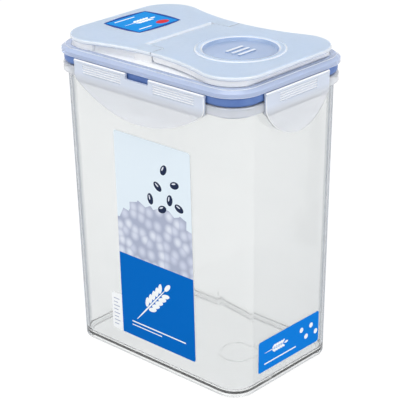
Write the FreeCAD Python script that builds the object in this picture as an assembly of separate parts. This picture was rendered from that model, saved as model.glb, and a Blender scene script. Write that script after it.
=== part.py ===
"""Food canister: clear box, snap lid with four wing latches and a flip-top pour cap.

Millimetres. X runs along the long side, Y along the short side, Z up, origin at the middle of the base.
The wall with the tall label faces -Y, and the pour cap lies at the +X end of the lid.
"""
import FreeCAD, Part
import math
import os

V = FreeCAD.Vector

# Container box
base_length = 130.2
base_width = 86.0
base_corner_r = 13.6
mouth_length = 135.4
mouth_width = 91.2
mouth_corner_r = 14.8
container_height = 174.6
wall = 1.5
floor_thickness = 1.8
floor_edge_r = 3.0
foot_height = 1.2
foot_width = 4.5
base_edge_r = 1.4
mould_ring_x = 28.0
mould_ring_r = 11.0
mould_ring_width = 1.0
mould_ring_rise = 0.4

# Turned-over rim of the container
rim_overhang = 2.5
rim_height = 4.8
rim_top = 1.8
rim_skirt = 1.3
rim_edge_r = 0.8

# Lid shell
lid_overhang = 3.3
lip_wall = 1.7
lip_height = 2.4
lip_edge_r = 0.4
shoulder_height = 1.4
shoulder_run = 2.4
ring_reach = 2.6
ring_rise = 0.4
ring_edge_r = 0.2
deck_thickness = 1.6
channel_roof = 2.2
plug_clearance = 0.6
plug_wall = 1.4
plug_depth = 6.6

# Gasket under the lid
gasket_gap = 0.2
gasket_show = 5.4
gasket_fit = 0.1
gasket_setback = 1.4
gasket_lip_gap = 0.3
gasket_bottom_r = 1.9
gasket_top_r = 0.8

# Waisted raised block that the plateau and the pour cap share
plateau_height = 6.0
end_inset = 2.5
side_inset = 3.7
waist_inset = 11.9
block_end_r = 20.0
block_edge_r = 1.0
plate_edge = 2.0
plate_under_r = 0.4
plate_overhang = 1.2
plateau_plate = 1.6
plateau_wall = 1.6
pocket_depth = 1.8
pocket_start = -41.0
pocket_end = -14.0

# Pour cap and its hinge
cap_split = -1.0
split_gap = 0.8
cap_plate = 1.6
cap_wall = 1.5
cap_deck_gap = 0.3
cap_ledge = 2.2
knuckle_r = 2.6
tongue_reach = 13.0
tongue_width = 53.0
tongue_rear_gap = 0.6
tongue_side_gap = 0.4
hinge_barrel_r = 2.5
recess_chamfer = 1.2
pin_r = 1.4
pin_length = 3.0
pin_clearance = 0.15
pin_end_gap = 0.3

# Press dish of the cap
dish_x = 31.0
dish_r = 21.0
dish_depth = 1.5
dish_slope = 1.0
dish_floor = 1.3
dish_wall = 1.4
dish_bead_width = 4.4
dish_bead_rise = 0.7
press_bar_count = 3
press_bar_pitch = 4.5
press_bar_length = 14.0
press_bar_width = 2.0
press_bar_r = 0.8
press_bar_rise = 0.5

# Pour opening, its grommet and the plug of the cap
spout_r = 18.5
grommet_neck = 1.5
grommet_flange = 2.0
grommet_lip = 0.9
stopper_clearance = 0.3
stopper_wall = 1.5
stopper_depth = 5.0

# Wing latches
latch_clearance = 0.3
latch_plate = 1.5
latch_depth = 26.6
latch_neck = 0.65
hinge_bead_r = 0.9
hinge_gap = 0.25
hook_gap = 0.3
hook_reach = 1.7
hook_height = 2.7
hook_tip = 0.9
flare = 0.9
flare_height = 8.0
latch_edge_r = 0.5
latch_corner_r = 6.0
long_latch_length = 98.0
long_latch_end = 10.0
short_latch_length = 53.0
short_latch_end = 9.5
notch_width = 17.4
notch_depth = 2.5
notch_r = 1.0
panel_depth = 0.4
panel_top = 1.0
panel_height = 5.4
rib_count = 4
rib_r = 0.42
long_panel_start = 12.0
long_panel_length = 30.0
short_panel_length = 31.0

# Film labels and lid sticker
label_thickness = 0.2
label_corner_r = 1.5
front_label_x = 5.1
front_label_bottom = 15.0
front_label_width = 58.2
front_label_height = 128.0
front_tab_width = 8.5
front_tab_height = 24.0
side_label_y = 1.8
side_label_bottom = 11.0
side_label_width = 54.0
side_label_height = 20.0
sticker_x = -46.0
sticker_y = 2.0
sticker_length = 29.0
sticker_width = 34.0
sticker_bulge = 1.6

# Heights that follow from the sizes above
rim_bottom_z = container_height - rim_height
gasket_z = container_height + gasket_gap
lip_z = gasket_z + gasket_show
shoulder_z = lip_z + lip_height
deck_z = shoulder_z + shoulder_height
deck_under_z = deck_z - deck_thickness
ring_z = deck_z + ring_rise
channel_z = ring_z - channel_roof
top_z = deck_z + plateau_height
plate_under_z = top_z - plate_edge
plug_z = container_height - plug_depth
floor_z = foot_height + floor_thickness

# Offsets from the outline of the container's mouth that follow from the sizes above
plug_outer = -wall - plug_clearance
plug_inner = plug_outer - plug_wall
channel_outer = lid_overhang - lip_wall
ring_outer = lid_overhang - shoulder_run
latch_inner = rim_overhang + latch_clearance
latch_outer = latch_inner + latch_plate
latch_axis = latch_outer - hinge_bead_r
latch_axis_z = lip_z - hinge_gap - hinge_bead_r

# Pour cap hinge that follows from the sizes above
tongue_rear = cap_split - tongue_reach
cap_axis_x = tongue_rear + hinge_barrel_r
cap_axis_z = top_z - hinge_barrel_r
recess_rear = tongue_rear - tongue_rear_gap
recess_half = tongue_width / 2 + tongue_side_gap
plateau_end = cap_split - split_gap
cap_end_x = mouth_length / 2 + lid_overhang - end_inset - plate_overhang - cap_ledge

# Larger than the whole object, for cutting half spaces, and a length that counts as none
far = 2 * (mouth_length + container_height)
tiny = 1e-6


def rounded_rectangle(half_x, half_y, radius, z):
    """Closed wire: a rectangle about the Z axis with rounded corners, at height z."""
    edges = []
    corners = [(1, 1, 0), (-1, 1, 90), (-1, -1, 180), (1, -1, 270)]
    for sign_x, sign_y, start in corners:
        centre = V(sign_x * (half_x - radius), sign_y * (half_y - radius), z)
        edges.append(Part.makeCircle(radius, centre, V(0, 0, 1), start, start + 90))
    wire_edges = []
    for arc, following in zip(edges, edges[1:] + edges[:1]):
        wire_edges.append(arc)
        wire_edges.append(Part.makeLine(arc.lastVertex().Point, following.firstVertex().Point))
    return Part.Wire(wire_edges)


def wall_outline(z, offset):
    """Outline of the container's drafted wall at height z, moved outward by offset."""
    share = z / container_height
    half_x = (base_length + share * (mouth_length - base_length)) / 2 + offset
    half_y = (base_width + share * (mouth_width - base_width)) / 2 + offset
    radius = base_corner_r + share * (mouth_corner_r - base_corner_r) + offset
    return rounded_rectangle(half_x, half_y, radius, z)


def mouth_outline(offset, z):
    """Outline of the container's mouth moved outward by offset, at height z."""
    half_x = mouth_length / 2 + offset
    half_y = mouth_width / 2 + offset
    return rounded_rectangle(half_x, half_y, mouth_corner_r + offset, z)


def block_outline(inset, z):
    """Waisted outline of the raised block: end arcs that run smoothly into two hollow side arcs."""
    half_x = mouth_length / 2 + lid_overhang - end_inset - inset
    half_y = mouth_width / 2 + lid_overhang - side_inset - inset
    waist = mouth_width / 2 + lid_overhang - waist_inset - inset
    end_r = block_end_r - inset
    centre_x = half_x - end_r
    centre_y = half_y - end_r
    rise = waist - centre_y
    side_r = (centre_x**2 + rise**2 - end_r**2) / (2 * (half_y - waist))
    side_y = waist + side_r
    reach = end_r / (end_r + side_r)
    join_x = centre_x * (1 - reach)
    join_y = centre_y + (side_y - centre_y) * reach
    turn = math.atan2(join_y - centre_y, join_x - centre_x) / 2
    mid_x = centre_x + end_r * math.cos(turn)
    mid_y = centre_y + end_r * math.sin(turn)

    def arc(first, middle, last):
        return Part.Arc(V(*first, z), V(*middle, z), V(*last, z)).toShape()

    return Part.Wire([
        arc((half_x, centre_y), (mid_x, mid_y), (join_x, join_y)),
        arc((join_x, join_y), (0, waist), (-join_x, join_y)),
        arc((-join_x, join_y), (-mid_x, mid_y), (-half_x, centre_y)),
        Part.makeLine(V(-half_x, centre_y, z), V(-half_x, -centre_y, z)),
        arc((-half_x, -centre_y), (-mid_x, -mid_y), (-join_x, -join_y)),
        arc((-join_x, -join_y), (0, -waist), (join_x, -join_y)),
        arc((join_x, -join_y), (mid_x, -mid_y), (half_x, -centre_y)),
        Part.makeLine(V(half_x, -centre_y, z), V(half_x, centre_y, z)),
    ])


def prism(wire, top):
    """Solid from a flat wire straight up to the height top."""
    return Part.Face(wire).extrude(V(0, 0, top - wire.BoundBox.ZMin))


def ring(outer, inner, bottom, top):
    """Upright ring between two offsets of the mouth's outline."""
    return prism(mouth_outline(outer, bottom), top).cut(prism(mouth_outline(inner, bottom), top))


def box(x, y, z):
    """Box from three (low, high) pairs."""
    return Part.makeBox(x[1] - x[0], y[1] - y[0], z[1] - z[0], V(x[0], y[0], z[0]))


def cylinder(radius, start, end):
    """Round bar between two points."""
    return Part.makeCylinder(radius, (end - start).Length, start, end - start)


def edges_at(shape, z):
    """Edges of a shape that lie at height z."""
    return [edge for edge in shape.Edges if max(abs(v.Z - z) for v in edge.Vertexes) < tiny]


def turned(points, centre_x):
    """Solid turned about an upright axis at centre_x from (radius, z) points."""
    corners = [V(centre_x + radius, 0, z) for radius, z in points]
    face = Part.Face(Part.makePolygon(corners + corners[:1]))
    return face.revolve(V(centre_x, 0, 0), V(0, 0, 1), 360)


def container_body():
    """Drafted box with a foot rim below and a turned-over rim at its mouth."""
    shell = Part.makeLoft([wall_outline(0, 0), wall_outline(container_height, 0)], True, True)
    shell = shell.makeFillet(base_edge_r, edges_at(shell, 0))
    rim = prism(mouth_outline(rim_overhang, rim_bottom_z), container_height)
    rim = rim.makeFillet(rim_edge_r, edges_at(rim, container_height))
    gutter = prism(mouth_outline(rim_overhang - rim_skirt, rim_bottom_z), container_height - rim_top)
    shell = shell.fuse(rim.cut(gutter))
    inner_outlines = [wall_outline(floor_z, -wall), wall_outline(container_height, -wall)]
    inside = Part.makeLoft(inner_outlines, True, True)
    inside = inside.makeFillet(floor_edge_r, edges_at(inside, floor_z))
    foot = prism(wall_outline(0, -foot_width), foot_height)
    return shell.cut(inside).cut(foot).fuse(mould_ring())


def mould_ring():
    """Low round bead that the mould leaves under the floor."""
    outer_r = mould_ring_r + mould_ring_width
    low = foot_height - mould_ring_rise
    section = [(mould_ring_r, low), (outer_r, low), (outer_r, foot_height), (mould_ring_r, foot_height)]
    return turned(section, mould_ring_x)


def raised_block():
    """Waisted block on the deck: a plate with rounded edges that stands out over the wall below it."""
    plate = prism(block_outline(0, plate_under_z), top_z)
    plate = plate.makeFillet(block_edge_r, edges_at(plate, top_z))
    plate = plate.makeFillet(plate_under_r, edges_at(plate, plate_under_z))
    return plate.fuse(prism(block_outline(plate_overhang, deck_z), plate_under_z))


def hinge_pins(radius, start, end):
    """Two bars along the cap's hinge axis, from start to end on each side of the middle."""
    right = cylinder(radius, V(cap_axis_x, start, cap_axis_z), V(cap_axis_x, end, cap_axis_z))
    left = cylinder(radius, V(cap_axis_x, -start, cap_axis_z), V(cap_axis_x, -end, cap_axis_z))
    return right.fuse(left)


def side_pockets():
    """Grip hollows under the plate in the two long sides of the plateau."""
    band = prism(block_outline(0, deck_z), plate_under_z)
    band = band.cut(prism(block_outline(plate_overhang + pocket_depth, deck_z), plate_under_z))
    return band.common(box((pocket_start, pocket_end), (-far, far), (deck_z, top_z)))


def tongue_recess():
    """Space in the plateau for the cap's tongue, with a bevelled rear edge."""
    recess = box((recess_rear, far), (-recess_half, recess_half), (deck_z, top_z))
    bevel = Part.makePolygon([
        V(recess_rear, -recess_half, top_z),
        V(recess_rear - recess_chamfer, -recess_half, top_z),
        V(recess_rear, -recess_half, top_z - recess_chamfer),
        V(recess_rear, -recess_half, top_z),
    ])
    return recess.fuse(Part.Face(bevel).extrude(V(0, 2 * recess_half, 0)))


def plateau():
    """Fixed half of the raised block, hollow below, with the hinge recess and its sockets."""
    block = raised_block().common(box((-far, plateau_end), (-far, far), (0, far)))
    block = block.cut(side_pockets()).cut(tongue_recess())
    sockets = hinge_pins(
        pin_r + pin_clearance,
        recess_half - tongue_side_gap,
        tongue_width / 2 + pin_length + pin_end_gap,
    )
    return block.cut(sockets)


def plateau_hollow():
    """Space under the plateau, open to the inside of the container."""
    wall_inset = plate_overhang + pocket_depth + plateau_wall
    hollow = prism(block_outline(wall_inset, lip_z), top_z - plateau_plate)
    return hollow.common(box((-far, recess_rear - plateau_wall), (-far, far), (0, far)))


def lid_rim():
    """Outer body of the lid: upright lip, sloping shoulder and a low raised ring round the deck."""
    lip = prism(mouth_outline(lid_overhang, lip_z), shoulder_z)
    lip = lip.makeFillet(lip_edge_r, edges_at(lip, lip_z))
    shoulder_outlines = [mouth_outline(lid_overhang, shoulder_z), mouth_outline(ring_outer, deck_z)]
    shoulder = Part.makeLoft(shoulder_outlines, True, True)
    raised = ring(ring_outer, -ring_reach, deck_z, ring_z)
    raised = raised.makeFillet(ring_edge_r, edges_at(raised, ring_z))
    return lip.fuse([shoulder, raised])


def lid():
    """Lid shell: stepped rim, gasket channel, plug skirt, plateau and pour opening."""
    shell = lid_rim()
    shell = shell.cut(ring(channel_outer, plug_outer, lip_z, channel_z))
    shell = shell.cut(prism(mouth_outline(plug_inner, lip_z), deck_under_z))
    shell = shell.fuse(ring(plug_outer, plug_inner, plug_z, deck_under_z))
    shell = shell.fuse(plateau())
    shell = shell.cut(plateau_hollow())
    hole = cylinder(spout_r + grommet_neck, V(dish_x, 0, lip_z), V(dish_x, 0, top_z))
    return shell.cut(hole).removeSplitter()


def lid_gasket():
    """Silicone ring: an upper part in the lid's channel and a fuller part that shows below the lip."""
    lower_top = lip_z - gasket_lip_gap
    lower = prism(mouth_outline(lid_overhang - gasket_setback, gasket_z), lower_top)
    lower = lower.makeFillet(gasket_bottom_r, edges_at(lower, gasket_z))
    lower = lower.makeFillet(gasket_top_r, edges_at(lower, lower_top))
    upper_low = lower_top - gasket_top_r
    upper = prism(mouth_outline(channel_outer - gasket_fit, upper_low), channel_z - gasket_fit)
    core = prism(mouth_outline(plug_outer + gasket_fit, gasket_z), channel_z)
    return lower.fuse(upper).cut(core).removeSplitter()


def spout_gasket():
    """Silicone grommet that grips the edge of the pour opening from above and below."""
    hole_r = spout_r + grommet_neck
    flange_r = hole_r + grommet_flange
    return turned([
        (spout_r, deck_under_z - grommet_lip),
        (flange_r, deck_under_z - grommet_lip),
        (flange_r, deck_under_z),
        (hole_r, deck_under_z),
        (hole_r, deck_z),
        (flange_r, deck_z),
        (flange_r, deck_z + grommet_lip),
        (spout_r, deck_z + grommet_lip),
    ], dish_x)


def press_dish():
    """Round dish with a raised bead around it and the ring that plugs the grommet below it."""
    floor_top = top_z - dish_depth
    floor_under = floor_top - dish_floor
    stopper_r = spout_r - stopper_clearance
    outer_r = dish_r + dish_wall
    dish = turned([
        (0, floor_under),
        (stopper_r - stopper_wall, floor_under),
        (stopper_r - stopper_wall, floor_under - stopper_depth),
        (stopper_r, floor_under - stopper_depth),
        (stopper_r, floor_under),
        (outer_r, floor_under),
        (outer_r, top_z),
        (dish_r, top_z),
        (dish_r - dish_slope, floor_top),
        (0, floor_top),
    ], dish_x)
    return dish.fuse([dish_bead()] + press_bars(floor_top))


def dish_bead():
    """Broad low bead round the press dish."""
    inner = V(dish_x + dish_r, 0, top_z)
    crown = V(dish_x + dish_r + dish_bead_width / 2, 0, top_z + dish_bead_rise)
    outer = V(dish_x + dish_r + dish_bead_width, 0, top_z)
    section = Part.Wire([Part.Arc(inner, crown, outer).toShape(), Part.makeLine(outer, inner)])
    return Part.Face(section).revolve(V(dish_x, 0, 0), V(0, 0, 1), 360)


def press_bars(floor_top):
    """Raised bars for the thumb on the floor of the press dish."""
    bars = []
    for number in range(press_bar_count):
        wire = rounded_rectangle(press_bar_width / 2, press_bar_length / 2, press_bar_r, floor_top)
        wire.translate(V(dish_x + press_bar_pitch * (number - (press_bar_count - 1) / 2), 0, 0))
        bars.append(prism(wire, floor_top + press_bar_rise))
    return bars


def flip_cap():
    """Pour cap: waisted shell with a press dish, a finger ledge and a hinge tongue with pins."""
    shell = raised_block().common(box((cap_split, far), (-far, far), (0, far)))
    hollow = prism(block_outline(plate_overhang + cap_wall, deck_z), top_z - cap_plate)
    hollow = hollow.common(box((cap_split + cap_wall, cap_end_x - cap_wall), (-far, far), (0, far)))
    ledge = box((cap_end_x, far), (-far, far), (deck_z, plate_under_z))
    shell = shell.cut(hollow).cut(ledge)
    shell = shell.cut(box((-far, far), (-far, far), (0, ring_z + cap_deck_gap)))
    knuckle_x = cap_split + knuckle_r
    knuckle_z = ring_z + cap_deck_gap + knuckle_r
    corner = box((cap_split, knuckle_x), (-far, far), (deck_z, knuckle_z))
    knuckle = cylinder(knuckle_r, V(knuckle_x, -far, knuckle_z), V(knuckle_x, far, knuckle_z))
    shell = shell.cut(corner.cut(knuckle))
    tongue = box(
        (cap_axis_x, cap_split + cap_wall),
        (-tongue_width / 2, tongue_width / 2),
        (top_z - cap_plate, top_z),
    )
    barrel = cylinder(
        hinge_barrel_r,
        V(cap_axis_x, -tongue_width / 2, cap_axis_z),
        V(cap_axis_x, tongue_width / 2, cap_axis_z),
    )
    pins = hinge_pins(pin_r, tongue_width / 2 - pin_length, tongue_width / 2 + pin_length)
    well = cylinder(dish_r + dish_wall, V(dish_x, 0, deck_z), V(dish_x, 0, top_z))
    cap = shell.cut(well).fuse([press_dish(), tongue, barrel, pins])
    return cap.removeSplitter()


def latch_section(length):
    """Latch plate along X before its outline is cut: straight above and bent outward below."""
    inner = latch_plate - hinge_bead_r
    outer = -hinge_bead_r
    bend_z = flare_height - latch_depth
    bend_r = (flare_height**2 + flare**2) / (2 * flare)
    bend_turn = math.asin(flare_height / bend_r)

    def bend(radius, share):
        turn = bend_turn * share
        return V(-length / 2, outer - bend_r + radius * math.cos(turn), bend_z - radius * math.sin(turn))

    inner_r = bend_r + latch_plate
    top_outer = V(-length / 2, outer, -latch_neck)
    top_inner = V(-length / 2, inner, -latch_neck)
    wire = Part.Wire([
        Part.makeLine(top_outer, top_inner),
        Part.makeLine(top_inner, bend(inner_r, 0)),
        Part.Arc(bend(inner_r, 0), bend(inner_r, 0.5), bend(inner_r, 1)).toShape(),
        Part.makeLine(bend(inner_r, 1), bend(bend_r, 1)),
        Part.Arc(bend(bend_r, 1), bend(bend_r, 0.5), bend(bend_r, 0)).toShape(),
        Part.makeLine(bend(bend_r, 0), top_outer),
    ])
    return Part.Face(wire).extrude(V(length, 0, 0))


def latch_hook(length):
    """Hook along the inner face of a latch, which grips under the container's rim."""
    inner = latch_plate - hinge_bead_r
    hook_z = rim_bottom_z - hook_gap - latch_axis_z
    points = [
        (inner, hook_z),
        (inner + hook_reach, hook_z),
        (inner + hook_reach, hook_z - hook_tip),
        (inner, hook_z - hook_height),
    ]
    corners = [V(-length / 2, y, z) for y, z in points]
    return Part.Face(Part.makePolygon(corners + corners[:1])).extrude(V(length, 0, 0))


def latch_front(length, end_depth):
    """Outline of a latch seen from outside: straight ends and a full round lower edge."""
    half = length / 2
    depth = far / 2
    top = V(half, -depth, 0)
    right = V(half, -depth, -end_depth)
    left = V(-half, -depth, -end_depth)
    wire = Part.Wire([
        Part.makeLine(V(-half, -depth, 0), top),
        Part.makeLine(top, right),
        Part.Arc(right, V(0, -depth, -latch_depth), left).toShape(),
        Part.makeLine(left, V(-half, -depth, 0)),
    ])
    blank = Part.Face(wire).extrude(V(0, far, 0))
    corners = [edge for edge in edges_at(blank, -end_depth) if edge.BoundBox.XLength < tiny]
    return blank.makeFillet(latch_corner_r, corners)


def outline_edges(latch):
    """Edges round the outer face of a latch plate, without its top edge and the line where it bends."""
    found = []
    for face in latch.Faces:
        middle = face.CenterOfMass
        normal = face.normalAt(*face.Surface.parameter(middle))
        if normal.y < -0.5:
            found.extend(edge for edge in face.Edges if edge.BoundBox.ZLength > tiny)
    return found


def ribbed_panel(start, length):
    """Shallow recess in a latch's outer face and the ribs that cross it: (recess, ribs)."""
    outer = -hinge_bead_r
    recess = box(
        (start, start + length),
        (outer - flare, outer + panel_depth),
        (-panel_top - panel_height, -panel_top),
    )
    ribs = []
    pitch = panel_height / rib_count
    for number in range(rib_count):
        rib_z = -panel_top - pitch * (number + 0.5)
        rib_y = outer + panel_depth
        ribs.append(cylinder(rib_r, V(start, rib_y, rib_z), V(start + length, rib_y, rib_z)))
    return recess, ribs


def wing_latch(length, end_depth, panels, notch):
    """Latch about its own hinge axis, which lies along X. The outside faces -Y."""
    front = latch_front(length, end_depth)
    latch = latch_section(length).common(front)
    latch = latch.makeFillet(latch_edge_r, outline_edges(latch))
    latch = latch.fuse(latch_hook(length).common(front))
    latch = latch.fuse(cylinder(hinge_bead_r, V(-length / 2, 0, 0), V(length / 2, 0, 0)))
    for start, panel_length in panels:
        recess, ribs = ribbed_panel(start, panel_length)
        latch = latch.cut(recess).fuse(ribs)
    if notch:
        above = hinge_bead_r + notch_r
        gap = box((-notch_width / 2, notch_width / 2), (-far, far), (-notch_depth, above))
        corners = [edge for edge in edges_at(gap, -notch_depth) if edge.BoundBox.XLength < notch_r]
        latch = latch.cut(gap.makeFillet(notch_r, corners))
    return latch.removeSplitter()


def placed_latch(latch, turn, half_side):
    """Copy of a latch set on the side of the lid that lies at the angle turn from the front."""
    copy = latch.copy()
    copy.translate(V(0, -half_side - latch_axis, latch_axis_z))
    copy.rotate(V(0, 0, 0), V(0, 0, 1), turn)
    return copy


def sheet(low_x, low_y, width, height, corner_r):
    """Thin rounded sheet lying flat at height 0."""
    wire = rounded_rectangle(width / 2, height / 2, corner_r, 0)
    wire.translate(V(low_x + width / 2, low_y + height / 2, 0))
    return Part.Face(wire).extrude(V(0, 0, label_thickness))


def on_wall(film, base_size, mouth_size, turn):
    """Film laid on the drafted wall that lies at the angle turn from the front."""
    draft = math.degrees(math.atan((mouth_size - base_size) / 2 / container_height))
    film.rotate(V(0, 0, 0), V(1, 0, 0), 90 + draft)
    film.translate(V(0, -base_size / 2, 0))
    film.rotate(V(0, 0, 0), V(0, 0, 1), turn)
    return film


def front_label():
    """Tall film label with a small tab low on its left edge."""
    left = front_label_x - front_label_width / 2
    main = sheet(left, front_label_bottom, front_label_width, front_label_height, label_corner_r)
    tab_width = front_tab_width + 2 * label_corner_r
    tab = sheet(left - front_tab_width, front_label_bottom, tab_width, front_tab_height, label_corner_r)
    return on_wall(main.fuse(tab).removeSplitter(), base_width, mouth_width, 0)


def side_label():
    """Small film label low on the short wall."""
    left = side_label_y - side_label_width / 2
    film = sheet(left, side_label_bottom, side_label_width, side_label_height, label_corner_r)
    return on_wall(film, base_length, mouth_length, 90)


def lid_sticker():
    """Cushion-shaped sticker on the plateau."""
    half_x = sticker_length / 2
    half_y = sticker_width / 2
    corners = [V(half_x, half_y), V(-half_x, half_y), V(-half_x, -half_y), V(half_x, -half_y)]
    edges = []
    for corner, following in zip(corners, corners[1:] + corners[:1]):
        middle = (corner + following) / 2
        bulged = middle + V(middle).normalize() * sticker_bulge
        edges.append(Part.Arc(corner, bulged, following).toShape())
    sticker = Part.Face(Part.Wire(edges)).extrude(V(0, 0, label_thickness))
    sticker.translate(V(sticker_x, sticker_y, top_z))
    return sticker


def long_latch():
    """Latch of the long sides: two ribbed panels and a notch in the hinge line."""
    panels = [
        (long_panel_start, long_panel_length),
        (-long_panel_start - long_panel_length, long_panel_length),
    ]
    return wing_latch(long_latch_length, long_latch_end, panels, True)


def short_latch():
    """Latch of the short sides: one ribbed panel."""
    panels = [(-short_panel_length / 2, short_panel_length)]
    return wing_latch(short_latch_length, short_latch_end, panels, False)


def all_pieces():
    """Every piece of the canister by its name."""
    long_side = long_latch()
    short_side = short_latch()
    return {
        "container_body": container_body(),
        "lid": lid(),
        "lid_gasket": lid_gasket(),
        "spout_gasket": spout_gasket(),
        "flip_cap": flip_cap(),
        "front_latch": placed_latch(long_side, 0, mouth_width / 2),
        "right_latch": placed_latch(short_side, 90, mouth_length / 2),
        "back_latch": placed_latch(long_side, 180, mouth_width / 2),
        "left_latch": placed_latch(short_side, 270, mouth_length / 2),
        "front_label": front_label(),
        "side_label": side_label(),
        "lid_sticker": lid_sticker(),
    }


os.makedirs("parts", exist_ok=True)
for name, shape in all_pieces().items():
    solids = shape.Solids
    print(name, "solids", len(solids), "valid", shape.isValid(), "volume", round(shape.Volume, 1))
    shape.exportStep("parts/" + name + ".step")
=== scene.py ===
"""Looks of the food canister: its plastics, silicone and printed films, with a plain studio and the camera.

Metres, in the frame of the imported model: X along the long side, Y along the short side, Z up.
"""
import math

import bpy
from mathutils import Matrix, Vector


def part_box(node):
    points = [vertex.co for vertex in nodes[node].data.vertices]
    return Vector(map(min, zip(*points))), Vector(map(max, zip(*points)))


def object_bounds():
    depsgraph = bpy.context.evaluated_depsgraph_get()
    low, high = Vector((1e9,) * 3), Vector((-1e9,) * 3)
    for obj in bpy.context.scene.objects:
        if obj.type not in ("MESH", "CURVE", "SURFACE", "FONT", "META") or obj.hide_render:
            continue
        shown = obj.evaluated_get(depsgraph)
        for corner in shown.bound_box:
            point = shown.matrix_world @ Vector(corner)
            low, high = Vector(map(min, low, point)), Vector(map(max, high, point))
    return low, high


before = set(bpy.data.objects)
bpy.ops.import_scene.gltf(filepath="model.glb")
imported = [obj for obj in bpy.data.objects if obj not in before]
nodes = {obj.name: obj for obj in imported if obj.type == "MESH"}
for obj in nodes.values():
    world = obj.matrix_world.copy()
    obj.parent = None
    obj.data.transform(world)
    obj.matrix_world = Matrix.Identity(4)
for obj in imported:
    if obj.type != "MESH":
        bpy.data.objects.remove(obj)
cad_low, cad_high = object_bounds()
MM = 0.001

# Camera, as fitted to the photograph: degrees, lens and sensor in millimetres, shift in sensor widths
CAMERA_AZIMUTH = 42.89
CAMERA_ELEVATION = 23.54
CAMERA_ROLL = -0.87
CAMERA_DISTANCE = 0.8674
CAMERA_TARGET = Vector((0, 0, 0.08428))
CAMERA_LENS = 133.6
CAMERA_SENSOR = 36.0
CAMERA_SHIFT = (-0.00325, 0.03025)

# Floor: pale where it gives light to the object. Seen directly it is darker with a white glow, so that it
# looks white and still shows the object's shadow.
FLOOR_SIZE = 6.0
FLOOR_GAP = 0.0002
FLOOR_ROUGHNESS = 0.9
FLOOR_WHITE = 0.8
FLOOR_SHOWN = 0.12
FLOOR_GLOW = 0.94

# Strength of the white surroundings as light, where 1 is what is seen of them
AMBIENT = 0.5

# Middle range of noise values, which is spread over a texture's whole range
NOISE_MIDDLE = (0.3, 0.7)

# Plastic: texture scales in cycles per metre, and depths of the flow ripple
PLASTIC_IOR = 1.49
CLOUD_SCALE = 45.0
GLOSS_SCALE = 400.0
RIPPLE_SCALE = 70.0
WALL_RIPPLE = 0.02 * MM
LID_RIPPLE = 0.01 * MM

# Silicone: roughness, texture scales in cycles per metre, and depth of the grain
SILICONE_IOR = 1.41
SILICONE_ROUGHNESS = (0.34, 0.5)
BLOOM_SCALE = 180.0
SATIN_SCALE = 700.0
GRAIN_SCALE = 2500.0
GRAIN_DEPTH = 0.03 * MM

# Film: gloss, texture scales in cycles per metre, depth of its waves, how far light spreads in it, and the
# cosine to its outer side above which a face carries the print
FILM_SPECULAR = 0.02
FILM_ROUGHNESS = (0.4, 0.55)
FILM_GLOSS_SCALE = 300.0
FILM_WAVE_SCALE = 120.0
FILM_WAVE_DEPTH = 0.02 * MM
FILM_SCATTER = MM
FILM_OUTSIDE = 0.5

# Clear wall seen edge-on: its tint, and the range of Layer Weight's Facing over which that comes in
EDGEWISE_TINT = (0.02, 0.06, 0.13)
EDGEWISE_FACING = (0.38, 0.8)

# Where the finishes and the painted light and shade change. The container's rim is above RIM_HEIGHT.
# The other heights and the radius of the press dish are for the lid and cap. The slopes are cosines of a
# face's
# normal to a direction: nearly edge-on and nearly flat to it.
RIM_HEIGHT = 0.1697
LIP_HEIGHTS = (0.1801, 0.1807)
DECK_HEIGHT = 0.1839
RING_HEIGHTS = (0.18405, 0.18455)
PLATE_HEIGHT = 0.1881
BAR_HEIGHT = 0.1887
DISH_RADIUS = 0.02102
EDGE_SLOPE = 0.2
FLAT_SLOPE = 0.93

# Material slots of the container, of the lid and cap, and of the latches
BODY_WALL, BODY_RIM = range(2)
LID_RIM, LID_PLATE, LID_HIGHLIGHT, LID_DISH, LID_WALL = range(5)
LATCH_PANEL, LATCH_HIGHLIGHT = range(2)

# Latches: the way each one faces, and the blue of the gasket behind them, which comes in between two heights
LATCH_SIDES = {
    "front_latch": (0, -1, 0),
    "back_latch": (0, 1, 0),
    "left_latch": (-1, 0, 0),
    "right_latch": (1, 0, 0),
}
LATCH_TINT = (0.8, 0.87, 1.0)
LATCH_TINT_TRANSMISSION = 0.3
LATCH_TINT_HEIGHTS = (0.167, 0.173)

# Inks, as linear colours
PRINT_BLUE = (0.0, 0.133, 0.515)
PRINT_BRIGHT_BLUE = (0.003, 0.2, 0.7)
PRINT_SKY = (0.006, 0.25, 0.68)
PRINT_EDGE_BLUE = (0.01, 0.06, 0.3)
PRINT_PALE = (0.74, 0.83, 0.9)
PRINT_MIST = (0.74, 0.78, 0.87)
PRINT_LAVENDER = (0.56, 0.6, 0.73)
PRINT_SLATE = (0.4, 0.44, 0.57)
PRINT_NAVY = (0.02, 0.03, 0.07)
PRINT_WHITE = (0.9, 0.92, 0.93)
PRINT_RED = (0.6, 0.03, 0.04)

# Grain ear, in shares of its length, with the lean of its grains in degrees
EAR_PAIRS = 5
EAR_STALK_HALF = (0.012, 0.45)
EAR_GRAIN_HALF = (0.035, 0.08)
EAR_GRAIN_LEAN = 32
EAR_GRAIN_ASIDE = 0.07
EAR_FIRST_PAIR = 0.42
EAR_PAIR_STEP = 0.1
EAR_TIP = 0.96

# Front label, in millimetres: corners of its blue field, rules and tab
FRONT_FIELD = ((-24, 15), (34.2, 67.5))
FRONT_RULES = [((-16, 24.3), (27, 25.1)), ((-16, 22.1), (8, 22.7))]
FRONT_TAB = ((-33, 14), (-24, 40))

# Bars on the front label's tab, in millimetres, with two lengths that take turns
TAB_BARS = 8
TAB_BAR_START = (-31, 18)
TAB_BAR_ENDS = (-27.5, -26.3)
TAB_BAR_STEP = 2.4
TAB_BAR_WIDTH = 0.6

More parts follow.
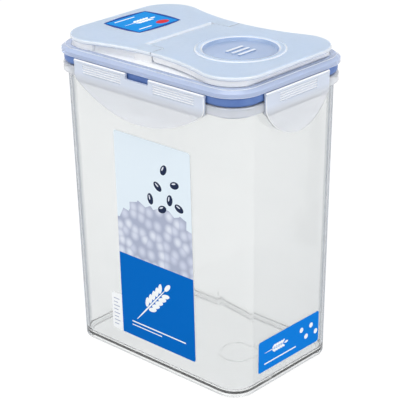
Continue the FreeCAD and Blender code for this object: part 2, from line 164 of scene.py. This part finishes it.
# Beans on the front label, in millimetres: one dark bean with its glint, the places of those that fall with
# their turns in degrees, and the heap, with the distances in shares of a bean between which its beans darken
BEAN_HALF = (3.4, 2.2)
GLINT_HALF = (1.5, 0.45)
GLINT_OFFSET = (-0.6, 0.8)
FALLING_BEANS = [
    ((14, 128), 60), ((22, 121), 15), ((9, 117), -35), ((18, 111), 80),
    ((25, 108), -20), ((12, 104), 25), ((3, 108), 100),
]
HEAP_CENTRE = (6, 60)
HEAP_HALF = (44, 44)
HEAP_BEAN = 6.5
HEAP_DISORDER = 0.75
HEAP_SHADE = (0.15, 0.6)

# Side label, in millimetres: corners of its rule, and dots in two rows that take turns
SIDE_RULE = ((-20, 15), (8, 15.8))
SIDE_DOTS = 4
SIDE_DOT_START = 13
SIDE_DOT_STEP = 4.4
SIDE_DOT_ROWS = (24, 18.4)
SIDE_DOT_HALF = (1.6, 1.6)

# Lid sticker, in millimetres: corners of its field, centre and half sizes of its red spot, and white rules,
# with the place along the lid and the far end of each, and their near end and width
STICKER_FIELD = ((-59.5, -14), (-32.5, 18))
STICKER_SPOT = ((-37.5, 10), (3.0, 4.6))
STICKER_RULES = [(-57, 6), (-37, 0)]
STICKER_RULE_START = -10
STICKER_RULE_WIDTH = 1


def material_with(name):
    """New node material: (material, its node tree, its Principled shader)."""
    material = bpy.data.materials.new(name)
    material.use_nodes = True
    return material, material.node_tree, material.node_tree.nodes["Principled BSDF"]


def node(tree, kind, inputs=None, **settings):
    """New shader node with its settings, and its inputs given as values or as sockets to link."""
    made = tree.nodes.new("ShaderNode" + kind)
    for key, value in settings.items():
        setattr(made, key, value)
    for key, value in (inputs or {}).items():
        if isinstance(value, bpy.types.NodeSocket):
            tree.links.new(value, made.inputs[key])
        else:
            made.inputs[key].default_value = value
    return made


def position(tree):
    """Place on the object in the frame's metres, which stays with the piece when it moves."""
    return node(tree, "TexCoord").outputs["Object"]


def normal(tree):
    """Outward direction of the surface, which stays with the piece when it moves."""
    return node(tree, "TexCoord").outputs["Normal"]


def part(tree, vector, axis):
    """One coordinate of a vector."""
    return node(tree, "SeparateXYZ", {"Vector": vector}).outputs[axis]


def calc(tree, operation, *values):
    """Result of a Math node."""
    return node(tree, "Math", dict(enumerate(values)), operation=operation).outputs[0]


def measure(tree, operation, *vectors):
    """Number that a Vector Math node makes of vectors, such as a length or a dot product."""
    return node(tree, "VectorMath", dict(enumerate(vectors)), operation=operation).outputs["Value"]


def ramp(tree, value, start=0.0, end=1.0, low=0.0, high=1.0):
    """Value that goes from low to high while another goes from start to end."""
    inputs = {"Value": value, "From Min": start, "From Max": end, "To Min": low, "To Max": high}
    return node(tree, "MapRange", inputs).outputs["Result"]


def raw_noise(tree, scale, detail):
    """Noise about 0.5, with scale in cycles per metre."""
    inputs = {"Vector": position(tree), "Scale": scale, "Detail": detail}
    return node(tree, "TexNoise", inputs).outputs["Fac"]


def noise(tree, scale, low=0.0, high=1.0, detail=2.0):
    """Noise spread from low to high, with scale in cycles per metre."""
    return ramp(tree, raw_noise(tree, scale, detail), *NOISE_MIDDLE, low, high)


def mix(tree, factor, first, second):
    """Colour between two colours."""
    made = node(tree, "Mix", {"Factor": factor}, data_type="RGBA")
    for name, colour in (("A", first), ("B", second)):
        socket = next(s for s in made.inputs if s.name == name and s.type == "RGBA")
        if isinstance(colour, bpy.types.NodeSocket):
            tree.links.new(colour, socket)
        else:
            socket.default_value = (*colour, 1)
    return next(s for s in made.outputs if s.type == "RGBA")


def relief(tree, shader, scale, depth, detail=2.0):
    """Noise as relief on a shader, with scale in cycles per metre and depth in metres."""
    inputs = {"Height": raw_noise(tree, scale, detail), "Distance": depth, "Strength": 1.0}
    made = node(tree, "Bump", inputs)
    tree.links.new(made.outputs["Normal"], shader.inputs["Normal"])


def tint_over(material, factor, tint):
    """Lays another tint over a material's base colour where the factor is 1."""
    tree = material.node_tree
    base = tree.nodes["Principled BSDF"].inputs["Base Color"]
    tree.links.new(mix(tree, factor, base.links[0].from_socket, tint), base)


def plastic(name, pale, deep, roughness, transmission, ripple=LID_RIPPLE):
    """Moulded polypropylene: faint clouds of two tints, uneven gloss and flow ripple."""
    material, tree, shader = material_with(name)
    tree.links.new(mix(tree, noise(tree, CLOUD_SCALE), pale, deep), shader.inputs["Base Color"])
    tree.links.new(noise(tree, GLOSS_SCALE, *roughness, detail=3.0), shader.inputs["Roughness"])
    shader.inputs["IOR"].default_value = PLASTIC_IOR
    shader.inputs["Transmission Weight"].default_value = transmission
    relief(tree, shader, RIPPLE_SCALE, ripple)
    return material


def deepen_edges(material):
    """Deeper tint where an upright wall is seen edge-on, because light has a longer way through it there."""
    tree = material.node_tree
    facing = node(tree, "LayerWeight").outputs["Facing"]
    tilt = calc(tree, "ABSOLUTE", part(tree, normal(tree), "Z"))
    upright = calc(tree, "SUBTRACT", 1.0, tilt)
    factor = calc(tree, "MULTIPLY", ramp(tree, facing, *EDGEWISE_FACING), upright)
    tint_over(material, factor, EDGEWISE_TINT)


def tint_above(material, heights, tint, transmission):
    """Gives a plastic another tint and clearness above a height, with a soft change between two heights."""
    tree = material.node_tree
    above = ramp(tree, part(tree, position(tree), "Z"), *heights)
    tint_over(material, above, tint)
    clearness = tree.nodes["Principled BSDF"].inputs["Transmission Weight"]
    tree.links.new(ramp(tree, above, low=clearness.default_value, high=transmission), clearness)


def silicone(name, colour, dusty):
    """Satin silicone rubber with a faint bloom and a fine matt grain."""
    material, tree, shader = material_with(name)
    bloom = noise(tree, BLOOM_SCALE, detail=4.0)
    tree.links.new(mix(tree, bloom, colour, dusty), shader.inputs["Base Color"])
    tree.links.new(noise(tree, SATIN_SCALE, *SILICONE_ROUGHNESS), shader.inputs["Roughness"])
    shader.inputs["IOR"].default_value = SILICONE_IOR
    relief(tree, shader, GRAIN_SCALE, GRAIN_DEPTH, detail=3.0)
    return material


class Film:
    """Printed film. Its print is laid in layers, at (u, v) millimetres along two axes of the frame."""

    def __init__(self, name, axes, ground):
        self.material, self.tree, self.shader = material_with(name)
        along = {}
        for axis, socket in zip(axes, ("X", "Y")):
            along[socket] = calc(self.tree, "DIVIDE", part(self.tree, position(self.tree), axis), MM)
        self.place = node(self.tree, "CombineXYZ", along).outputs["Vector"]
        self.colour = ground

    def paint(self, mask, colour):
        """One more layer of ink where the mask is 1."""
        self.colour = mix(self.tree, mask, self.colour, colour)

    def within(self, place, centre, half, turn=0.0):
        """Place measured from a centre in half sizes, for shapes that are turned by an angle in degrees."""
        inputs = {
            "Vector": place,
            "Location": (*centre, 0),
            "Rotation": (0, 0, math.radians(turn)),
            "Scale": (*half, 1),
        }
        return node(self.tree, "Mapping", inputs, vector_type="TEXTURE").outputs["Vector"]

    def round_mask(self, local):
        """1 inside a circle of radius 1."""
        return calc(self.tree, "LESS_THAN", measure(self.tree, "LENGTH", local), 1.0)

    def ellipse(self, centre, half, colour, turn=0.0):
        """Prints an ellipse."""
        self.paint(self.round_mask(self.within(self.place, centre, half, turn)), colour)

    def box(self, low, high, colour):
        """Prints a rectangle."""
        centre = ((low[0] + high[0]) / 2, (low[1] + high[1]) / 2)
        half = ((high[0] - low[0]) / 2, (high[1] - low[1]) / 2)
        local = self.within(self.place, centre, half)
        sides = [calc(self.tree, "ABSOLUTE", part(self.tree, local, axis)) for axis in ("X", "Y")]
        self.paint(calc(self.tree, "LESS_THAN", calc(self.tree, "MAXIMUM", *sides), 1.0), colour)

    def ear(self, foot, size, turn):
        """Prints a white grain ear of a given length: stalk, pairs of leaning grains and one at the tip."""
        angle = math.radians(turn)
        across = Vector((math.cos(angle), math.sin(angle))) * size
        along = Vector((-across.y, across.x))
        foot = Vector(foot)
        stalk = Vector(EAR_STALK_HALF) * size
        grain = Vector(EAR_GRAIN_HALF) * size
        self.ellipse(foot + along * EAR_STALK_HALF[1], stalk, PRINT_WHITE, turn)
        for number in range(EAR_PAIRS):
            middle = foot + along * (EAR_FIRST_PAIR + EAR_PAIR_STEP * number)
            for side in (-1, 1):
                centre = middle + across * side * EAR_GRAIN_ASIDE
                self.ellipse(centre, grain, PRINT_WHITE, turn - side * EAR_GRAIN_LEAN)
        self.ellipse(foot + along * EAR_TIP, grain, PRINT_WHITE, turn)

    def heap(self):
        """Prints a heap of beans: rounded cells in several greys inside an ellipse with a loose edge."""
        tree = self.tree
        inputs = {"Vector": self.place, "Scale": 1 / HEAP_BEAN, "Randomness": HEAP_DISORDER}
        cells = node(tree, "TexVoronoi", inputs, voronoi_dimensions="2D")
        tone = part(tree, cells.outputs["Color"], "X")
        shade = ramp(tree, cells.outputs["Distance"], *HEAP_SHADE)
        bean = mix(tree, shade, mix(tree, tone, PRINT_LAVENDER, PRINT_MIST), PRINT_SLATE)
        local = self.within(cells.outputs["Position"], HEAP_CENTRE, HEAP_HALF)
        self.paint(self.round_mask(local), bean)

    def bean(self, centre, turn):
        """Prints one dark bean with a pale glint."""
        self.ellipse(centre, BEAN_HALF, PRINT_NAVY, turn)
        self.ellipse(Vector(centre) + Vector(GLINT_OFFSET), GLINT_HALF, PRINT_MIST, turn)

    def finish(self, outside):
        """Puts the print on the shader: ink on the outer face, elsewhere white that lets light through."""
        tree, inputs = self.tree, self.shader.inputs
        front = calc(tree, "GREATER_THAN", measure(tree, "DOT_PRODUCT", normal(tree), outside), FILM_OUTSIDE)
        tree.links.new(mix(tree, front, PRINT_WHITE, self.colour), inputs["Base Color"])
        tree.links.new(noise(tree, FILM_GLOSS_SCALE, *FILM_ROUGHNESS, detail=4.0), inputs["Roughness"])
        tree.links.new(calc(tree, "SUBTRACT", 1.0, front), inputs["Subsurface Weight"])
        inputs["Subsurface Radius"].default_value = (1, 1, 1)
        inputs["Subsurface Scale"].default_value = FILM_SCATTER
        inputs["Specular IOR Level"].default_value = FILM_SPECULAR
        relief(tree, self.shader, FILM_WAVE_SCALE, FILM_WAVE_DEPTH)
        return self.material


def front_label():
    """Tall label: pale ground with beans, blue field with a grain ear and two rules, and a tab with bars."""
    film = Film("front_label_print", "XZ", PRINT_PALE)
    film.heap()
    for centre, turn in FALLING_BEANS:
        film.bean(centre, turn)
    film.box(*FRONT_FIELD, PRINT_BLUE)
    film.ear(foot=(-12, 27), size=40, turn=-42)
    for low, high in FRONT_RULES:
        film.box(low, high, PRINT_WHITE)
    film.box(*FRONT_TAB, PRINT_WHITE)
    start, lowest = TAB_BAR_START
    for number in range(TAB_BARS):
        height = lowest + TAB_BAR_STEP * number
        end = TAB_BAR_ENDS[number % 2]
        film.box((start, height), (end, height + TAB_BAR_WIDTH), PRINT_SLATE)
    return film.finish((0, -1, 0))


def side_label():
    """Small blue label with a grain ear, a rule and dots."""
    film = Film("side_label_print", "YZ", PRINT_BRIGHT_BLUE)
    film.ear(foot=(-20, 22.5), size=20, turn=-90)
    film.box(*SIDE_RULE, PRINT_WHITE)
    for number in range(SIDE_DOTS):
        centre = (SIDE_DOT_START + SIDE_DOT_STEP * number, SIDE_DOT_ROWS[number % 2])
        film.ellipse(centre, SIDE_DOT_HALF, PRINT_WHITE)
    return film.finish((1, 0, 0))


def lid_sticker():
    """Sky blue sticker with a darker edge, a grain ear between rules and a red spot."""
    film = Film("lid_sticker_print", "XY", PRINT_EDGE_BLUE)
    film.box(*STICKER_FIELD, PRINT_SKY)
    film.ear(foot=(-47.5, -11), size=24, turn=0)
    film.ellipse(*STICKER_SPOT, PRINT_RED)
    for place, end in STICKER_RULES:
        film.box((place, STICKER_RULE_START), (place + STICKER_RULE_WIDTH, end), PRINT_WHITE)
    return film.finish((0, 0, 1))


def put_on(name, *materials):
    """Gives a node its materials, in the order of its slots."""
    slots = nodes[name].data.materials
    slots.clear()
    for material in materials:
        slots.append(material)


def dress_container():
    """Clear walls, and a paler rim as painted light."""
    clear = plastic(
        "clear_plastic", pale=(0.92, 0.93, 0.93), deep=(0.905, 0.918, 0.92),
        roughness=(0.03, 0.08), transmission=0.95, ripple=WALL_RIPPLE,
    )
    deepen_edges(clear)
    # Painted light: a paler, less clear plastic that lifts the darker band the rim would show.
    rim = plastic(
        "rim_painted_light_plastic", pale=(0.93, 0.95, 0.99), deep=(0.91, 0.935, 0.98),
        roughness=(0.1, 0.18), transmission=0.6,
    )
    put_on("container_body", clear, rim)
    for face in nodes["container_body"].data.polygons:
        face.material_index = BODY_RIM if face.center.z > RIM_HEIGHT else BODY_WALL


def lid_slot(face, dish_centre):
    """Slot of a face of the lid or cap. The lip's underside, ring's sides, press bars and sloped faces above
    the plates get the painted highlight.
    """
    height, upward = face.center.z, face.normal.z
    if LIP_HEIGHTS[0] < height < LIP_HEIGHTS[1] and upward < -EDGE_SLOPE:
        return LID_HIGHLIGHT
    if height < DECK_HEIGHT or upward < -EDGE_SLOPE:
        return LID_RIM
    if RING_HEIGHTS[0] < height < RING_HEIGHTS[1]:
        return LID_RIM if upward > FLAT_SLOPE else LID_HIGHLIGHT
    if height < PLATE_HEIGHT:
        return LID_WALL
    if (face.center - dish_centre).to_2d().length < DISH_RADIUS:
        return LID_HIGHLIGHT if upward > FLAT_SLOPE and height > BAR_HEIGHT else LID_DISH
    return LID_PLATE if upward > FLAT_SLOPE else LID_HIGHLIGHT


def dress_lid():
    """Lid and cap: glossy rim, frosted plates, painted highlights, painted shade in the dish, and walls milky
    in part and painted light in part.
    """
    glossy = plastic(
        "glossy_plastic", pale=(0.65, 0.745, 0.97), deep=(0.62, 0.725, 0.96),
        roughness=(0.08, 0.14), transmission=0.48,
    )
    frosted = plastic(
        "frosted_plastic", pale=(0.67, 0.8, 0.96), deep=(0.63, 0.77, 0.94),
        roughness=(0.32, 0.42), transmission=0.45,
    )
    # Painted highlight: pale, less clear plastic on edges and press bars, where they would catch the light.
    edge = plastic(
        "highlight_plastic", pale=(0.87, 0.92, 0.99), deep=(0.84, 0.9, 0.98),
        roughness=(0.1, 0.18), transmission=0.3,
    )
    # Painted shade: a darker blue that stands in for the dark hollow under the dish, seen through it.
    dish = plastic(
        "dish_painted_shade_plastic", pale=(0.46, 0.61, 0.87), deep=(0.42, 0.57, 0.84),
        roughness=(0.12, 0.2), transmission=0.5,
    )
    # Partly painted light: nearly white, barely clear walls that lift the shade under the plates' overhang.
    milky = plastic(
        "milky_painted_light_plastic", pale=(0.96, 0.965, 0.975), deep=(0.94, 0.95, 0.965),
        roughness=(0.36, 0.46), transmission=0.15,
    )
    dish_centre = sum(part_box("spout_gasket"), Vector()) / 2
    for name in ("lid", "flip_cap"):
        put_on(name, glossy, frosted, edge, dish, milky)
        for face in nodes[name].data.polygons:
            face.material_index = lid_slot(face, dish_centre)


def latch_slot(face, outward):
    """Slot of a face of a latch: the ribs, the hinge bead and the rounded outline get a painted highlight."""
    return LATCH_HIGHLIGHT if EDGE_SLOPE < face.normal.dot(outward) < FLAT_SLOPE else LATCH_PANEL


def dress_latches():
    """Four latches: translucent panels with a blue tint above the container's rim, and painted white
    highlights on ribs and edges.
    """
    panel = plastic(
        "latch_plastic", pale=(0.92, 0.94, 0.98), deep=(0.9, 0.925, 0.97),
        roughness=(0.1, 0.18), transmission=0.56,
    )
    tint_above(panel, LATCH_TINT_HEIGHTS, LATCH_TINT, LATCH_TINT_TRANSMISSION)
    # Painted highlight: nearly white, barely clear plastic on the ribs, hinge bead and rounded outline.
    rib_highlight = plastic(
        "rib_highlight_plastic", pale=(0.98, 0.985, 1.0), deep=(0.96, 0.97, 0.99),
        roughness=(0.1, 0.18), transmission=0.15,
    )
    for name, outward in LATCH_SIDES.items():
        put_on(name, panel, rib_highlight)
        for face in nodes[name].data.polygons:
            face.material_index = latch_slot(face, Vector(outward))


def dress_gaskets():
    """Blue gasket round the lid, and a dark one in the pour opening."""
    put_on("lid_gasket", silicone("blue_silicone", (0.085, 0.165, 0.43), (0.11, 0.2, 0.47)))
    put_on("spout_gasket", silicone("dark_silicone", (0.008, 0.02, 0.08), (0.015, 0.03, 0.1)))


def dress_films():
    """The three printed films."""
    put_on("front_label", front_label())
    put_on("side_label", side_label())
    put_on("lid_sticker", lid_sticker())


def seen_directly(tree):
    """1 for rays that show the surroundings: from the camera, mirrored or through clear material."""
    rays = node(tree, "LightPath").outputs
    bent = calc(tree, "MAXIMUM", rays["Is Glossy Ray"], rays["Is Transmission Ray"])
    return calc(tree, "MAXIMUM", rays["Is Camera Ray"], bent)


def studio_world():
    """White surroundings that give the object a softer, dimmer light."""
    world = bpy.data.worlds.new("studio")
    bpy.context.scene.world = world
    world.use_nodes = True
    tree = world.node_tree
    background = tree.nodes["Background"]
    background.inputs["Color"].default_value = (1, 1, 1, 1)
    tree.links.new(ramp(tree, seen_directly(tree), low=AMBIENT), background.inputs["Strength"])


def floor():
    """Pale floor that looks white where it is lit and keeps the object's shadow."""
    bpy.ops.mesh.primitive_plane_add(size=FLOOR_SIZE, location=(0, 0, -FLOOR_GAP))
    plane = bpy.context.object
    plane.name = "floor"
    material, tree, shader = material_with("pale_floor")
    seen = seen_directly(tree)
    tree.links.new(mix(tree, seen, (FLOOR_WHITE,) * 3, (FLOOR_SHOWN,) * 3), shader.inputs["Base Color"])
    shader.inputs["Roughness"].default_value = FLOOR_ROUGHNESS
    shader.inputs["Specular IOR Level"].default_value = 0.0
    shader.inputs["Emission Color"].default_value = (1, 1, 1, 1)
    tree.links.new(ramp(tree, seen, high=FLOOR_GLOW), shader.inputs["Emission Strength"])
    plane.data.materials.append(material)


def toward(azimuth, elevation=0.0):
    """Unit vector from the object to a viewpoint. Azimuth 0 degrees faces its -Y side, and 90 its +X side."""
    a, e = math.radians(azimuth), math.radians(elevation)
    return Vector((math.sin(a) * math.cos(e), -math.cos(a) * math.cos(e), math.sin(e)))


def add_object(name, data):
    """New object in the scene, with a lamp's or camera's data."""
    made = bpy.data.objects.new(name, data)
    bpy.context.scene.collection.objects.link(made)
    return made


def softbox(name, azimuth, elevation, distance, size, power):
    """Square area lamp aimed at the middle of the object."""
    data = bpy.data.lights.new(name, "AREA")
    data.size = size
    data.energy = power
    away = toward(azimuth, elevation)
    lamp = add_object(name, data)
    lamp.location = (cad_low + cad_high) / 2 + away * distance
    lamp.rotation_euler = away.to_track_quat("Z", "Y").to_euler()


def camera():
    """Camera at the photograph's angle, with the small roll and shift of its framing."""
    data = bpy.data.cameras.new("camera")
    data.sensor_width = CAMERA_SENSOR
    data.lens = CAMERA_LENS
    data.shift_x, data.shift_y = CAMERA_SHIFT
    back = toward(CAMERA_AZIMUTH, CAMERA_ELEVATION)
    right = toward(CAMERA_AZIMUTH + 90)
    turn = Matrix((right, back.cross(right), back)).transposed()
    roll = Matrix.Rotation(math.radians(CAMERA_ROLL), 3, "Z")
    made = add_object("camera", data)
    made.matrix_world = (turn @ roll).to_4x4()
    made.location = CAMERA_TARGET + back * CAMERA_DISTANCE
    bpy.context.scene.camera = made


dress_container()
dress_lid()
dress_latches()
dress_gaskets()
dress_films()
studio_world()
floor()
softbox("key_light", azimuth=-10, elevation=40, distance=1.6, size=1.2, power=11)
softbox("fill_light", azimuth=95, elevation=25, distance=1.6, size=1.2, power=10.5)
softbox("top_light", azimuth=30, elevation=85, distance=1.5, size=1.0, power=7.6)
camera()
bpy.context.scene.view_settings.view_transform = "Standard"
